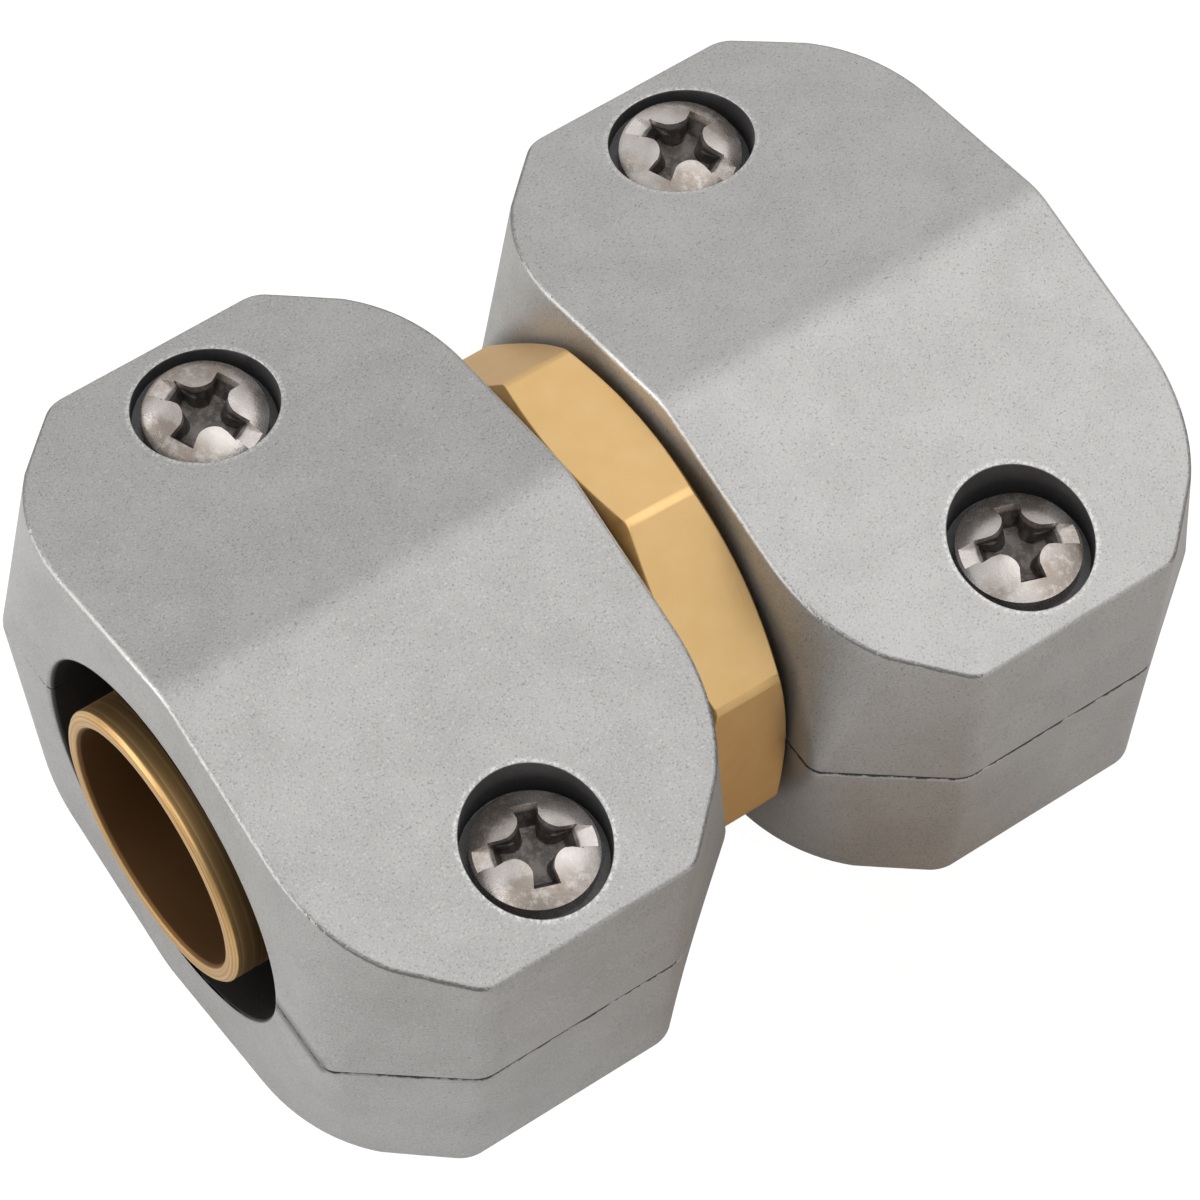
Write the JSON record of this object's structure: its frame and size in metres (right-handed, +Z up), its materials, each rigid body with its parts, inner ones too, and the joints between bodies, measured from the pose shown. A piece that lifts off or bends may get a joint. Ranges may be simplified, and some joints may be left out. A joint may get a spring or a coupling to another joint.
{
  "type": "hose mender",
  "caption": "Coupling that joins cut hose ends: a barbed brass stem with an octagonal collar, and a screwed split clamp of cast zinc around each tail.",
  "frame": {"origin": "middle of the stem: on the hose axis, halfway between the two tail ends, in the plane where the clamps' castings meet", "axes": "+X along the hose, from the near clamp to the far one; +Z up along the near clamp's screws, towards their heads; +Y across, towards the screws named left"},
  "size_m": [0.06, 0.043, 0.032],
  "materials": {
    "brass": "satin",
    "cast_zinc": "matte",
    "plated_steel": "gloss"
  },
  "bodies": {
    "stem": {"stem": "brass"},
    "near_lower": {"near_lower_clamp": "cast_zinc"},
    "near_upper": {"near_upper_clamp": "cast_zinc"},
    "near_left_screw": {"near_left_screw": "plated_steel"},
    "near_right_screw": {"near_right_screw": "plated_steel"},
    "far_lower": {"far_lower_clamp": "cast_zinc"},
    "far_upper": {"far_upper_clamp": "cast_zinc"},
    "far_left_screw": {"far_left_screw": "plated_steel"},
    "far_right_screw": {"far_right_screw": "plated_steel"}
  },
  "joints": [
    {"name": "near_swivel", "type": "hinge", "parent": "stem", "child": "near_lower", "pos_m": [-0.0161, 0, 0], "axis": [1, 0, 0], "continuous": true},
    {"name": "near_opening", "type": "slide", "parent": "near_lower", "child": "near_upper", "axis": [0, 0, 1], "range_m": [0, 0.006]},
    {"name": "near_left_screw_turn", "type": "hinge", "parent": "near_upper", "child": "near_left_screw", "pos_m": [-0.0161, 0.0158, 0.01006], "axis": [0, 0, 1], "range_deg": [0, 3086]},
    {"name": "near_right_screw_turn", "type": "hinge", "parent": "near_upper", "child": "near_right_screw", "pos_m": [-0.0161, -0.0158, 0.01006], "axis": [0, 0, 1], "range_deg": [0, 3086]},
    {"name": "far_swivel", "type": "hinge", "parent": "stem", "child": "far_lower", "pos_m": [0.0161, 0, 0], "axis": [1, 0, 0], "continuous": true},
    {"name": "far_opening", "type": "slide", "parent": "far_lower", "child": "far_upper", "axis": [0, 0.0366, 0.9993], "range_m": [0, 0.006]},
    {"name": "far_left_screw_turn", "type": "hinge", "parent": "far_upper", "child": "far_left_screw", "pos_m": [0.0161, 0.01616, 0.00948], "axis": [0, 0.0366, 0.9993], "range_deg": [0, 3086]},
    {"name": "far_right_screw_turn", "type": "hinge", "parent": "far_upper", "child": "far_right_screw", "pos_m": [0.0161, -0.01542, 0.01064], "axis": [0, 0.0366, 0.9993], "range_deg": [0, 3086]}
  ],
  "couplings": [
    {"joint": "near_left_screw_turn", "follows": "near_opening", "rad_per_m": 8976},
    {"joint": "near_right_screw_turn", "follows": "near_opening", "rad_per_m": 8976},
    {"joint": "far_left_screw_turn", "follows": "far_opening", "rad_per_m": 8976},
    {"joint": "far_right_screw_turn", "follows": "far_opening", "rad_per_m": 8976}
  ]
}
